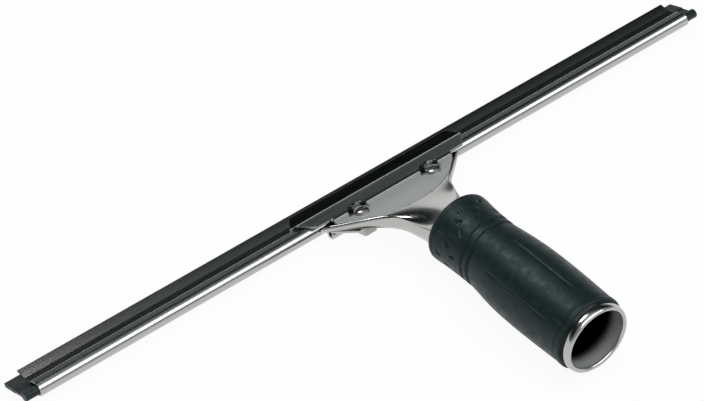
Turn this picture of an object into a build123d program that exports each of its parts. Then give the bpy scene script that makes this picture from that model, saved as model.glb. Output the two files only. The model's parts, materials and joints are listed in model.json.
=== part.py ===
import os
from math import atan2, cos, degrees, pi, radians, sin, tan

from build123d import *

os.makedirs("parts", exist_ok=True)

# frame: origin at the centre of the pole socket's mouth, +Y along the handle to the blade, +Z up, X along the channel
blade_tilt = 19.0  # droop of the blade in front of the handle, degrees
reach = 135.1  # socket mouth to the channel's bead tube
bead_drop = 13.3  # bead tube below the handle's axis
slide_gap = 0.3  # room between the handle and the channel

# pole socket and tapered tube
mouth_r = 13.6
mouth_land = 14.0
wall = 1.2
rim_bead_r = 1.1
neck_r = 12.1
neck_step = 0.15  # the neck starts this much inside the tube's end, under the collar
nose_len = 8.0  # rounded end of the hollow, inside the neck

# rubber grip
grip_front_y = 86.8
grip_back_y = 4.0
neck_lap = 2.0
barrel_wall = 2.3  # at the barrel's widest place
barrel_swell = 0.55  # the barrel's back end is this much slimmer
flange_wall = 1.95
flange_len = 2.7
soft_edge = 0.5
waist_wall = 2.3
groove_w = 2.4
groove_d = 0.8
groove_ease = 0.5
ring_w = 1.5
collar_wall = 3.9
collar_len = 17.2
collar_round = 1.8
flare_share = 0.25  # part of the collar's flare that is reached halfway along it
line_d = 0.4
line_set = 3.0
flute_count = 6
flute_turn = 9.0  # the flutes' turn about the handle, degrees
flute_y = 41.2
flute_len = 42.0
flute_slope = 2.0  # the flutes' lean with the barrel, degrees
flute_set = 0.74  # depth, in the barrel, of the chord between a flute's ends
flute_bow = 0.15
flute_w = 1.3
flute_run = 0.55  # flare of the flute's sides
drop_count = 9
drop_len = 3.4
drop_w = 1.1
drop_d = 0.4
drop_slope = 30.0
drop_turn = 35.0

# channel, one bent strip
channel_len = 350.0
channel_shift = -3.5
strip = 0.7
bead_tube_r = 3.1
bead_y = -0.3
shoulder_y = 3.15
neck_y = 5.4
neck_half = 1.55
kink_y = 9.0
kink_half = 2.12
skirt_y = 13.9
skirt_half = 4.2
bend_r = 0.45

# rubber blade
blade_overhang = 6.3
bead_gap = 0.3
web_gap = 0.15
lip_root = 1.2
lip_half = 1.1
lip_thin = 0.1
lip_reach = 2.0  # rubber in front of the channel's skirts

# dish at the handle's front end
dish_half = 37.6
rim_run = 2.4
rim_front = 0.7
rim_back = 2.9
seat_h = 1.0
heel_back = -27.2
keel_lap = 0.1

# clamp plate, pressed sheet
sheet = 1.2
heel_gap = 0.45
step_gap = 1.2
step_y = -6.2
step_run = 1.0
fit_gap = 0.2  # room between the plate's fold and the channel's neck
jaw_half = 46.6
band_slant = 7.4
lip_y = 11.2
lip_gap = 0.45
lip_chamfer = 4.0
press_r = 0.5

# lower jaw, sheet with a rolled edge
roll_gap = 0.1  # room between the jaws and the bead tube
roll_r = 2.35
roll_turn = 290.0
lower_half = 31.7
lower_back = -14.0
lower_back_half = 24.5
seat_room = 0.8

# clamp screws and square nuts
screw_x = 19.4
screw_y = -10.1
shank_r = 2.0
hole_gap = 0.35
thread_gap = 0.06
head_r = 3.4
head_h = 1.9
head_round = 0.7
slot_w = 0.95
slot_d = 1.0
slot_turns = {"left": 20.0, "right": -35.0}
shank_proud = 1.0
cup_r = 4.5
cup_wall = 1.0
nut_w = 6.4
nut_h = 3.2

tilt_c = cos(radians(blade_tilt))
tilt_s = sin(radians(blade_tilt))
tilt_t = tan(radians(blade_tilt))
tube_r = mouth_r + wall
taper_end_y = grip_front_y - neck_lap
round_r = neck_r - neck_step
hole_r = shank_r + hole_gap
under_h = -bead_tube_r - roll_gap
band_under = bead_tube_r + roll_gap
band_front = shoulder_y + fit_gap
head_seat = seat_h + sheet
nut_top = under_h - sheet
screw_sides = {"left": -screw_x, "right": screw_x}
screw_spots = [(x, screw_y, 0) for x in screw_sides.values()]

# section plane of the jaws: local x runs forward along the blade, local y up from it, normal along X
section = Plane(origin=(0, reach, -bead_drop), x_dir=(0, tilt_c, -tilt_s), z_dir=(1, 0, 0))
# plan plane of the jaws: local x along the channel, local y forward, normal up from the blade
plan = Plane(origin=(0, reach, -bead_drop), x_dir=(1, 0, 0), z_dir=(0, tilt_s, tilt_c))
# half plane for turned shapes: local x out from the handle's axis, local y along it
turned = Plane.XY

# the neck widens from the tube's end to the dish's front edge, which stops short of the bead tube
dish_front_y = reach + bead_y * tilt_c - bead_tube_r - slide_gap
neck_len = dish_front_y - taper_end_y
# shares, tube to dish: way along, widening, roundness of the crown, depth of the keel; then squareness
stations = [
    (0.0, 0.0, 1.0, 1.0, 2.0),
    (0.17, 0.008, 0.79, 0.81, 2.1),
    (0.35, 0.05, 0.41, 0.58, 2.5),
    (0.49, 0.135, 0.11, 0.38, 3.0),
    (0.63, 0.31, 0.0, 0.205, 3.6),
    (0.76, 0.555, 0.0, 0.074, 4.0),
    (0.885, 0.79, 0.0, 0.005, 4.0),
    (1.0, 1.0, 0.0, 0.0, 4.0),
]
crown_end = 0.49


def plane_z(y, height):
    # level, at y, of a plane that lies at this height above the blade's middle plane
    return -bead_drop + height / tilt_c - (y - reach) * tilt_t


def rim_z(y):
    # top of the dish's rim, which stands higher towards the neck
    share = (dish_front_y - y) / (neck_len * (1 - crown_end))
    return plane_z(y, seat_h + rim_front + (rim_back - rim_front) * share)


def neck_station(along, widening, roundness, depth):
    # place, half width, tip level, crown rise and keel drop of one station
    y = taper_end_y + neck_len * along
    half = round_r + (dish_half - round_r) * widening
    ease = max(0.0, 1 - along / crown_end) ** 2
    crown = rim_z(y) - (rim_z(taper_end_y) - round_r) * ease
    keel_front = plane_z(y, under_h - keel_lap)
    keel = keel_front - (round_r + plane_z(taper_end_y, under_h - keel_lap)) * depth
    level = crown - round_r * roundness
    return y, half, level, crown - level, level - keel


def bow(half, level, rise, power, steps=8):
    # one edge of a station, a superellipse from the left tip over the crown or keel to the right tip
    pts = []
    for i in range(steps + 1):
        turn = pi * i / steps
        across = cos(turn)
        x = -half * (1 if across > 0 else -1) * abs(across) ** (2 / power)
        pts.append((x, level + rise * abs(sin(turn)) ** (2 / power)))
    pts[0] = (-half, level)
    pts[-1] = (half, level)
    return pts


def dish_edge(inset):
    # front corner and side of the seat in the plan plane, drawn in by inset
    pts = []
    for along, widening, roundness, depth, power in reversed(stations[-3:]):
        y, half, level, rise, drop = neck_station(along, widening, roundness, depth)
        pts.append((half - rim_run - inset, (y - reach) * tilt_c - (level + bead_drop) * tilt_s))
    return pts


def edge_x(y, inset):
    # half width of the seat at y, on the run behind its front corner
    (x0, y0), (x1, y1) = dish_edge(inset)[:2]
    return x0 + (x1 - x0) * (y - y0) / (y1 - y0)


def skirt_top(y):
    # outer face of the channel's upper skirt, in front of its kink
    return kink_half + (skirt_half - kink_half) * (y - kink_y) / (skirt_y - kink_y)


def taper_r(y):
    # outside of the tapered tube
    return tube_r + (neck_r - tube_r) * (y - mouth_land) / (taper_end_y - mouth_land)


def mirrored(pts):
    # the same points on the left, last first
    return [(-x, y) for x, y in reversed(pts)]


def seat_outline(inset):
    # closed outline of the seat in the plan plane, running out in front of the dish, drawn in by inset
    side = dish_edge(inset)
    Polyline(side[0], (side[0][0], lip_y), (-side[0][0], lip_y), mirrored(side)[-1])
    Spline(*side, (0, heel_back + inset), *mirrored(side))


with BuildPart() as handle_body:
    for along, widening, roundness, depth, power in stations:
        y, half, level, rise, drop = neck_station(along, widening, roundness, depth)
        with BuildSketch(Plane(origin=(0, y, 0), x_dir=(1, 0, 0), z_dir=(0, -1, 0))):
            with BuildLine():
                if roundness > 0:
                    Spline(*bow(half, level, rise, power))
                else:
                    Line((-half, level), (half, level))
                Spline(*bow(half, level, -drop, power))
            make_face()
    loft()
    # seat for the clamp plate, leaving the raised rim of the dish
    with BuildSketch(plan.offset(seat_h)):
        with BuildLine():
            seat_outline(0.0)
        make_face()
    extrude(amount=neck_r, mode=Mode.SUBTRACT)
    # flat seat for the lower jaw
    with BuildSketch(plan.offset(under_h)):
        with Locations((0, lower_back - seat_room)):
            Rectangle(2 * (lower_half + seat_room), lip_y - lower_back, align=(Align.CENTER, Align.MIN))
    extrude(amount=-neck_r, mode=Mode.SUBTRACT)
    with Locations(plan):
        with Locations(*screw_spots):
            Cylinder(hole_r, 4 * neck_r, mode=Mode.SUBTRACT)
    # tapered tube with the rolled rim
    with BuildSketch(turned):
        with BuildLine():
            Polyline((0, 0), (tube_r, 0), (tube_r, mouth_land), (neck_r, taper_end_y), (0, taper_end_y), close=True)
        make_face()
        with Locations((mouth_r + rim_bead_r, 0)):
            Circle(rim_bead_r)
    revolve(axis=Axis.Y)
    # hollow: straight land at the mouth, long taper, rounded end inside the neck
    bore_end_r = neck_r - wall
    with BuildSketch(turned):
        with BuildLine():
            Polyline((bore_end_r, taper_end_y), (mouth_r, mouth_land), (mouth_r, -2 * rim_bead_r),
                     (0, -2 * rim_bead_r), (0, taper_end_y + nose_len))
            Spline((0, taper_end_y + nose_len), (0.47 * bore_end_r, taper_end_y + 0.86 * nose_len),
                   (0.8 * bore_end_r, taper_end_y + 0.45 * nose_len), (bore_end_r, taper_end_y))
        make_face()
    revolve(axis=Axis.Y, mode=Mode.SUBTRACT)
handle_body.part.label = "handle_body"
export_step(handle_body.part, "parts/handle_body.step")

# cutter for one drop of the collar, a kite whose sides slope inwards
with BuildPart() as drop:
    with BuildSketch(Plane.XY):
        with BuildLine():
            Polyline((0, -drop_w), (drop_w, 0), (0, drop_len - drop_w), (-drop_w, 0), close=True)
        make_face()
    extrude(amount=2 * drop_d, taper=drop_slope)

# cutter for one flute of the barrel, flatter along its bottom than the barrel is, with flared sides
with BuildPart() as flute:
    with BuildSketch(Plane.YZ):
        with BuildLine():
            ThreePointArc((-flute_len / 2, 0), (0, flute_bow), (flute_len / 2, 0))
            Polyline((flute_len / 2, 0), (flute_len / 2, flute_w), (-flute_len / 2, flute_w), (-flute_len / 2, 0))
        make_face()
    extrude(amount=flute_w / 2, both=True, taper=degrees(atan2(flute_run, flute_w / 2)))

flange_r = tube_r + flange_wall
flange_end = grip_back_y + flange_len
barrel_r = tube_r + barrel_wall
collar_r = neck_r + collar_wall
collar_back = grip_front_y - collar_len
barrel_end = collar_back - 2 * groove_w - ring_w
barrel_len = barrel_end - flange_end
waist_r = taper_r(barrel_end) + waist_wall
line_y = grip_front_y - line_set
flare_mid = (waist_r + (collar_r - waist_r) * flare_share, (collar_back + line_y) / 2)


def collar_at(y):
    # radius of the flared collar at y
    share = (y - collar_back) / (line_y - collar_back)
    ends = waist_r * (1 - share) + collar_r * share
    return ends - (2 - 4 * flare_share) * (collar_r - waist_r) * share * (1 - share)


with BuildPart() as grip:
    with BuildSketch(turned):
        with BuildLine():
            Polyline((tube_r, grip_back_y), (flange_r - soft_edge, grip_back_y), (flange_r, grip_back_y + soft_edge),
                     (flange_r, flange_end - soft_edge), (flange_r - soft_edge, flange_end),
                     (barrel_r - barrel_swell, flange_end))
            Spline((barrel_r - barrel_swell, flange_end), (barrel_r, flange_end + 0.34 * barrel_len),
                   (barrel_r - 0.75 * barrel_swell, flange_end + 0.74 * barrel_len), (waist_r, barrel_end))
            rings = []
            for back in (barrel_end, barrel_end + groove_w + ring_w):
                rings += [(waist_r, back), (waist_r - groove_d, back + groove_ease),
                          (waist_r - groove_d, back + groove_w - groove_ease), (waist_r, back + groove_w)]
            front = CenterArc((collar_r - collar_round, grip_front_y - collar_round), collar_round, 0, 90)
            Polyline(*rings)
            Spline(rings[-1], flare_mid, (collar_r, line_y - line_d))
            Polyline((collar_r, line_y - line_d), (collar_r - line_d, line_y), (collar_r, line_y + line_d), front @ 0)
            Polyline(front @ 1, (neck_r, grip_front_y), (neck_r, taper_end_y), (tube_r, mouth_land),
                     (tube_r, grip_back_y))
        make_face()
    revolve(axis=Axis.Y)
    # long flutes of the barrel, which fade out at both ends
    for i in range(flute_count):
        turn = flute_turn + 360.0 * i / flute_count
        with Locations(Rotation(0, turn, 0) * Location((0, flute_y, barrel_r - flute_set), (-flute_slope, 0, 0))):
            add(flute.part, mode=Mode.SUBTRACT)
    # three staggered rows of small engraved drops on the collar
    row_step = (line_y - collar_back) / 4
    for row in range(3):
        row_y = collar_back + row_step * (row + 1)
        for i in range(drop_count):
            turn = 360.0 * (i + row / 3) / drop_count
            slant = drop_turn * (1 if (i + row) % 2 else -1)
            spot = Location((0, row_y, collar_at(row_y) + drop_d), (0, 180, slant))
            with Locations(Rotation(0, turn, 0) * spot):
                add(drop.part, mode=Mode.SUBTRACT)
grip.part.label = "grip"
export_step(grip.part, "parts/grip.step")

fold_under = neck_half + fit_gap
lip_under = skirt_top(lip_y) + lip_gap
heel_front = step_y - step_run
flat_back = screw_y - hole_r

with BuildPart() as clamp_plate:
    # flat heel's front, step, raised band, V fold and front lip as one bent sheet
    with BuildSketch(section):
        with BuildLine():
            FilletPolyline((flat_back, seat_h), (heel_front, seat_h), (step_y, band_under), (band_front, band_under),
                           (neck_y, fold_under), (lip_y, lip_under), radius=press_r)
            offset(amount=sheet, side=Side.LEFT)
        make_face()
    extrude(amount=jaw_half, both=True)
    # ends of the sheet: chamfered lip, slanted band, narrow step that clears the dish's rim
    step_side = [(edge_x(y, step_gap), y) for y in (step_y, flat_back)]
    with BuildSketch(plan):
        with BuildLine():
            right = [(jaw_half - lip_chamfer, lip_y + sheet), (jaw_half - lip_chamfer, lip_y), (jaw_half, neck_y),
                     (jaw_half - band_slant, step_y), *step_side]
            Polyline(*right, *mirrored(right), close=True)
        make_face()
    extrude(amount=2 * lip_under, mode=Mode.INTERSECT)
    # half-moon heel that lies in the dish
    with BuildSketch(plan.offset(seat_h)):
        with BuildLine():
            seat_outline(heel_gap)
        make_face()
        with Locations((0, heel_front)):
            Rectangle(4 * jaw_half, lip_y - heel_back, align=(Align.CENTER, Align.MIN), mode=Mode.SUBTRACT)
    extrude(amount=sheet)
    # round cups pressed into the step, one for each screw head
    with BuildSketch(plan.offset(seat_h)):
        with Locations(*screw_spots):
            Circle(cup_r + cup_wall)
        with Locations((0, heel_front)):
            Rectangle(4 * jaw_half, 4 * cup_r, align=(Align.CENTER, Align.MAX), mode=Mode.SUBTRACT)
    extrude(amount=band_under + sheet - seat_h)
    with BuildSketch(plan.offset(head_seat)):
        with Locations(*screw_spots):
            Circle(cup_r)
    extrude(amount=2 * lip_under, mode=Mode.SUBTRACT)
    with Locations(plan):
        with Locations(*screw_spots):
            Cylinder(hole_r, 2 * head_seat + sheet, mode=Mode.SUBTRACT)
clamp_plate.part.label = "clamp_plate"
export_step(clamp_plate.part, "parts/clamp_plate.step")

with BuildPart() as lower_jaw:
    # plate under the dish whose front edge is rolled down into an open tube
    with BuildSketch(section):
        with BuildLine():
            Line((lower_back, under_h), (bead_y, under_h))
            outer = CenterArc((bead_y, under_h - roll_r), roll_r, 90, -roll_turn)
            inner = CenterArc((bead_y, under_h - roll_r), roll_r - sheet, 90, -roll_turn)
            Line(outer @ 1, inner @ 1)
            Polyline((bead_y, under_h - sheet), (lower_back, under_h - sheet), (lower_back, under_h))
        make_face()
    extrude(amount=lower_half, both=True)
    with BuildSketch(plan):
        with BuildLine():
            right = [(lower_half, bead_y + 2 * roll_r), (lower_half, bead_y - roll_r), (lower_back_half, lower_back)]
            Polyline(*right, *mirrored(right), close=True)
        make_face()
    extrude(amount=under_h - 3 * roll_r, mode=Mode.INTERSECT)
    with Locations(plan):
        with Locations(*screw_spots):
            Cylinder(hole_r, 4 * neck_r, mode=Mode.SUBTRACT)
lower_jaw.part.label = "lower_jaw"
export_step(lower_jaw.part, "parts/lower_jaw.step")

# slotted clamp screws, each with a domed head in its cup and a shank down through its nut
for side, x in screw_sides.items():
    with BuildPart() as screw:
        with BuildSketch(plan.offset(nut_top - nut_h - shank_proud)):
            with Locations((x, screw_y)):
                Circle(shank_r)
        extrude(amount=head_seat - nut_top + nut_h + shank_proud)
        with BuildSketch(plan.offset(head_seat)):
            with Locations((x, screw_y)):
                Circle(head_r)
        extrude(amount=head_h)
        chamfer(screw.edges().group_by(Axis(plan.origin, plan.z_dir))[-1], head_round)
        with BuildSketch(plan.offset(head_seat + head_h - slot_d)):
            with Locations(Location((x, screw_y), slot_turns[side])):
                Rectangle(3 * head_r, slot_w)
        extrude(amount=head_h, mode=Mode.SUBTRACT)
    screw.part.label = "screw_" + side
    export_step(screw.part, "parts/screw_" + side + ".step")

# square nuts under the lower jaw
for side, x in screw_sides.items():
    with BuildPart() as nut:
        with BuildSketch(plan.offset(nut_top)):
            with Locations((x, screw_y)):
                Rectangle(nut_w, nut_w)
                Circle(shank_r + thread_gap, mode=Mode.SUBTRACT)
        extrude(amount=-nut_h)
    nut.part.label = "nut_" + side
    export_step(nut.part, "parts/nut_" + side + ".step")

channel_left = channel_shift - channel_len / 2

with BuildPart() as channel:
    # upper skirt, pinched neck, bead tube and lower skirt as one bent strip
    with BuildSketch(section.offset(channel_left)):
        with BuildLine():
            FilletPolyline((skirt_y, skirt_half), (kink_y, kink_half), (neck_y, neck_half),
                           (shoulder_y, bead_tube_r), (bead_y, bead_tube_r), radius=bend_r)
            CenterArc((bead_y, 0), bead_tube_r, 90, 180)
            FilletPolyline((bead_y, -bead_tube_r), (shoulder_y, -bead_tube_r), (neck_y, -neck_half),
                           (kink_y, -kink_half), (skirt_y, -skirt_half), radius=bend_r)
            offset(amount=strip, side=Side.LEFT)
        make_face()
    extrude(amount=channel_len)
channel.part.label = "channel"
export_step(channel.part, "parts/channel.step")

bead_r = bead_tube_r - strip - bead_gap
web_half = neck_half - strip - web_gap
lip_front = skirt_y + lip_reach

with BuildPart() as blade_rubber:
    # round bead held in the tube, thin web through the neck, square-cut lip between the skirts
    with BuildSketch(section.offset(channel_left - blade_overhang)):
        with Locations((bead_y, 0)):
            Circle(bead_r)
        with BuildLine():
            upper = [(bead_y, web_half), (neck_y + lip_root, web_half), (neck_y + 2 * lip_root, lip_half),
                     (lip_front, lip_half - lip_thin)]
            Polyline(*upper, *[(y, -h) for y, h in reversed(upper)], close=True)
        make_face()
    extrude(amount=channel_len + 2 * blade_overhang)
blade_rubber.part.label = "blade_rubber"
export_step(blade_rubber.part, "parts/blade_rubber.step")
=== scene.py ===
import json
from math import asin, atan2, cos, pi, radians, sin, tan
import bmesh
import bpy
import numpy as np
from mathutils import Matrix, Vector


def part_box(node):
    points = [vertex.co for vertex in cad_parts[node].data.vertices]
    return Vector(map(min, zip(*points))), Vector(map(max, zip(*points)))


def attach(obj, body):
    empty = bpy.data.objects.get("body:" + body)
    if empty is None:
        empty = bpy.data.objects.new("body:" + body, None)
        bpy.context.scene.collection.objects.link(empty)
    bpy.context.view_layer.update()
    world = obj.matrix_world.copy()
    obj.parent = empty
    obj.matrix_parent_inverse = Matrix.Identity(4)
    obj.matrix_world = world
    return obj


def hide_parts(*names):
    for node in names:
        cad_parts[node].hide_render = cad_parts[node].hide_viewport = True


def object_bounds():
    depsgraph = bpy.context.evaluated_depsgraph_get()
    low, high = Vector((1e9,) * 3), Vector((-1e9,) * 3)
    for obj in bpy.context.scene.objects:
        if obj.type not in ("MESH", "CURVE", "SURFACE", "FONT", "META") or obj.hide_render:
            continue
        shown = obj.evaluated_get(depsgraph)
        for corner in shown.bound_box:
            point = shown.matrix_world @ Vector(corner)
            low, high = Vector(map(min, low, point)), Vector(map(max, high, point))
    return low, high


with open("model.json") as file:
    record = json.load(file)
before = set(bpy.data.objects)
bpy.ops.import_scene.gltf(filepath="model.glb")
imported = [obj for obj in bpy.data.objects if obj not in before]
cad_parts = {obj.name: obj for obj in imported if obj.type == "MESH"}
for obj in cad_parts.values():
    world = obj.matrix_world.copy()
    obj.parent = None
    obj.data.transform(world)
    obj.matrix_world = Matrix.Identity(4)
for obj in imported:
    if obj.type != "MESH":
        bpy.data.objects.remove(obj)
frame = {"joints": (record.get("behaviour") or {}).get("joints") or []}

cadBox = [list(corner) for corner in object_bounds()]
scene = bpy.context.scene
scene.view_settings.view_transform = "Standard"
print("frame loaded, box", cadBox)

# camera, fitted to the photograph's 704 x 401 frame
photoView = dict(azimuth=-35.318, elevation=42.826, roll=-4.066, distance=1.26045,
                 target=(-0.0166, 0.13663, -0.01049), lens=152.45, sensor=36.0, farEnd=20.0)


def makeCamera(view):
    # stands at target + back * distance, looks down its own -Z and is turned by roll about that line
    az, el, roll = (radians(view[key]) for key in ("azimuth", "elevation", "roll"))
    back = Vector((sin(az) * cos(el), -cos(az) * cos(el), sin(el)))
    right = (-back).cross(Vector((0, 0, 1))).normalized()
    up = right.cross(-back)
    right, up = right * cos(roll) + up * sin(roll), up * cos(roll) - right * sin(roll)
    data = bpy.data.cameras.new("photoCamera")
    data.lens = view["lens"]
    data.sensor_width = view["sensor"]
    data.clip_end = view["farEnd"]
    cam = bpy.data.objects.new("photoCamera", data)
    turn = Matrix((right, up, back)).transposed().to_4x4()
    cam.matrix_world = Matrix.Translation(Vector(view["target"]) + back * view["distance"]) @ turn
    scene.collection.objects.link(cam)
    scene.camera = cam


makeCamera(photoView)
print("camera set")

# colour sockets of a Mix node
mixFirst, mixSecond, mixResult = 6, 7, 2


def putNode(tree, kind, values=None, **settings):
    # new node with its settings and the values of its unlinked sockets
    node = tree.nodes.new(kind)
    for key, value in settings.items():
        setattr(node, key, value)
    for key, value in (values or {}).items():
        node.inputs[key].default_value = value
    return node


# studio: white floor, a dark wall beyond the blade with pale bands, a paler room behind the camera,
# a wide soft lamp on the camera's side and a small one beyond the blade
studio = dict(floorHalf=6.0, floorGap=0.0002, floorColor=(0.84, 0.84, 0.84, 1.0), floorRough=0.9,
              floorGlow=0.94,
              wallStops=[(0.0, 1.0), (0.05, 1.0), (0.12, 0.11), (0.24, 0.1), (0.32, 0.018), (0.64, 0.015),
                         (0.74, 0.085), (0.86, 0.09), (0.96, 0.5)],
              roomStops=[(0.0, 0.9), (0.08, 0.75), (0.2, 0.5), (0.4, 0.35), (0.85, 0.4), (0.95, 0.7)],
              wallEdge=0.15, roomEdge=-0.25, shade=(0.82, 1.0, 1.0))
lamps = dict(wideLamp=dict(at=(0.3, -0.62, 1.15), aim=(0.3, 0.185, 0.0), wide=2.0, deep=0.95, power=15.0),
             smallLamp=dict(at=(-0.17, 0.82, 1.04), aim=(-0.11, 0.03, 0.0), wide=0.5, deep=0.45, power=6.0))


def makeFloor(look):
    # square just under the part
    half, z = look["floorHalf"], cadBox[0][2] - look["floorGap"]
    corners = [(-half, -half, z), (half, -half, z), (half, half, z), (-half, half, z)]
    mesh = bpy.data.meshes.new("floor")
    mesh.from_pydata(corners, [], [(0, 1, 2, 3)])
    floor = bpy.data.objects.new("floor", mesh)
    scene.collection.objects.link(floor)
    mat = bpy.data.materials.new("paleFloor")
    mat.use_nodes = True
    tree = mat.node_tree
    shader = tree.nodes["Principled BSDF"]
    shader.inputs["Base Color"].default_value = look["floorColor"]
    shader.inputs["Roughness"].default_value = look["floorRough"]
    # eye, gloss and glass see the floor nearly white, and the share left over keeps the shadow
    rays = putNode(tree, "ShaderNodeLightPath")
    seen = putNode(tree, "ShaderNodeMath", operation="MAXIMUM")
    through = putNode(tree, "ShaderNodeMath", operation="MAXIMUM")
    share = putNode(tree, "ShaderNodeMath", {1: look["floorGlow"]}, operation="MULTIPLY")
    glow = putNode(tree, "ShaderNodeEmission", {"Color": (1, 1, 1, 1), "Strength": 1.0})
    mix = putNode(tree, "ShaderNodeMixShader")
    tree.links.new(rays.outputs["Is Camera Ray"], seen.inputs[0])
    tree.links.new(rays.outputs["Is Glossy Ray"], seen.inputs[1])
    tree.links.new(seen.outputs[0], through.inputs[0])
    tree.links.new(rays.outputs["Is Transmission Ray"], through.inputs[1])
    tree.links.new(through.outputs[0], share.inputs[0])
    tree.links.new(share.outputs[0], mix.inputs[0])
    tree.links.new(shader.outputs[0], mix.inputs[1])
    tree.links.new(glow.outputs[0], mix.inputs[2])
    tree.links.new(mix.outputs[0], tree.nodes["Material Output"].inputs["Surface"])
    mesh.materials.append(mat)


def makeLight(look):
    # wall and room are ramps over the sine of the height, mixed along Y; dark levels lean to the cool shade
    world = bpy.data.worlds.new("studioWalls")
    world.use_nodes = True
    scene.world = world
    tree = world.node_tree
    coord = putNode(tree, "ShaderNodeTexCoord")
    split = putNode(tree, "ShaderNodeSeparateXYZ")
    tree.links.new(coord.outputs["Generated"], split.inputs[0])
    side = putNode(tree, "ShaderNodeMapRange", {"From Min": look["wallEdge"], "From Max": look["roomEdge"]})
    blend = putNode(tree, "ShaderNodeMix", data_type="RGBA")
    tree.links.new(split.outputs["Y"], side.inputs["Value"])
    tree.links.new(side.outputs[0], blend.inputs[0])
    for stops, socket in ((look["wallStops"], mixFirst), (look["roomStops"], mixSecond)):
        ramp = putNode(tree, "ShaderNodeValToRGB")
        while len(ramp.color_ramp.elements) < len(stops):
            ramp.color_ramp.elements.new(1.0)
        for stop, (place, level) in zip(ramp.color_ramp.elements, stops):
            stop.position = place
            stop.color = (*(level * (tone + (1 - tone) * level) for tone in look["shade"]), 1)
        tree.links.new(split.outputs["Z"], ramp.inputs[0])
        tree.links.new(ramp.outputs[0], blend.inputs[socket])
    tree.links.new(blend.outputs[mixResult], tree.nodes["Background"].inputs["Color"])


def makeLamp(name, look):
    # rectangular lamp at its place, tilted about X towards aim
    data = bpy.data.lights.new(name, "AREA")
    data.shape = "RECTANGLE"
    data.size = look["wide"]
    data.size_y = look["deep"]
    data.energy = look["power"]
    lamp = bpy.data.objects.new(name, data)
    lamp.location = look["at"]
    tilt = atan2(look["aim"][1] - look["at"][1], look["at"][2] - look["aim"][2])
    lamp.rotation_euler = (tilt, 0, 0)
    scene.collection.objects.link(lamp)


makeFloor(studio)
makeLight(studio)
for name, look in lamps.items():
    makeLamp(name, look)
print("studio lit")


# shared effects of the finishes
def makeGroup(name, inputs, outputs):
    # empty shader group with its named sockets
    group = bpy.data.node_groups.new(name, "ShaderNodeTree")
    for socket, kind, value in inputs:
        made = group.interface.new_socket(socket, in_out="INPUT", socket_type=kind)
        made.default_value = value
    for socket in outputs:
        group.interface.new_socket(socket, in_out="OUTPUT", socket_type="NodeSocketFloat")
    return group, putNode(group, "NodeGroupInput"), putNode(group, "NodeGroupOutput")


def makeGrainGroup():
    # noise on object coordinates: Streak is drawn out by Stretch, Cloud is broad, Fine is a tight grain
    group, given, result = makeGroup("surfaceGrain", [
        ("Stretch", "NodeSocketVector", (1, 1, 1)), ("Streak Scale", "NodeSocketFloat", 1000.0),
        ("Cloud Scale", "NodeSocketFloat", 40.0), ("Fine Scale", "NodeSocketFloat", 3000.0)],
        ["Streak", "Cloud", "Fine"])
    coord = putNode(group, "ShaderNodeTexCoord")
    drawn = putNode(group, "ShaderNodeVectorMath", operation="MULTIPLY")
    group.links.new(coord.outputs["Object"], drawn.inputs[0])
    group.links.new(given.outputs["Stretch"], drawn.inputs[1])
    for output, scale, source, detail in (("Streak", "Streak Scale", drawn.outputs[0], 4.0),
                                          ("Cloud", "Cloud Scale", coord.outputs["Object"], 3.0),
                                          ("Fine", "Fine Scale", coord.outputs["Object"], 2.0)):
        noise = putNode(group, "ShaderNodeTexNoise", {"Detail": detail})
        group.links.new(source, noise.inputs["Vector"])
        group.links.new(given.outputs[scale], noise.inputs["Scale"])
        group.links.new(noise.outputs["Fac"], result.inputs[output])
    return group


def makeScuffGroup():
    # Mask goes from 0 to 1 over the Share below the peak of a drawn-out noise: long faint scratches
    peak = 0.9
    group, given, result = makeGroup("scuffMarks", [
        ("Stretch", "NodeSocketVector", (1, 1, 1)), ("Scale", "NodeSocketFloat", 500.0),
        ("Share", "NodeSocketFloat", 0.3)], ["Mask"])
    coord = putNode(group, "ShaderNodeTexCoord")
    drawn = putNode(group, "ShaderNodeVectorMath", operation="MULTIPLY")
    noise = putNode(group, "ShaderNodeTexNoise", {"Detail": 2.0, "Distortion": 0.4})
    floorLevel = putNode(group, "ShaderNodeMath", {0: peak}, operation="SUBTRACT")
    spread = putNode(group, "ShaderNodeMapRange", {"From Max": peak})
    group.links.new(coord.outputs["Object"], drawn.inputs[0])
    group.links.new(given.outputs["Stretch"], drawn.inputs[1])
    group.links.new(drawn.outputs[0], noise.inputs["Vector"])
    group.links.new(given.outputs["Scale"], noise.inputs["Scale"])
    group.links.new(given.outputs["Share"], floorLevel.inputs[1])
    group.links.new(floorLevel.outputs[0], spread.inputs["From Min"])
    group.links.new(noise.outputs["Fac"], spread.inputs["Value"])
    group.links.new(spread.outputs[0], result.inputs["Mask"])
    return group


grainGroup = makeGrainGroup()
scuffGroup = makeScuffGroup()
streakRange = (0.3, 0.7)  # where most of the noise lies


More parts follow.
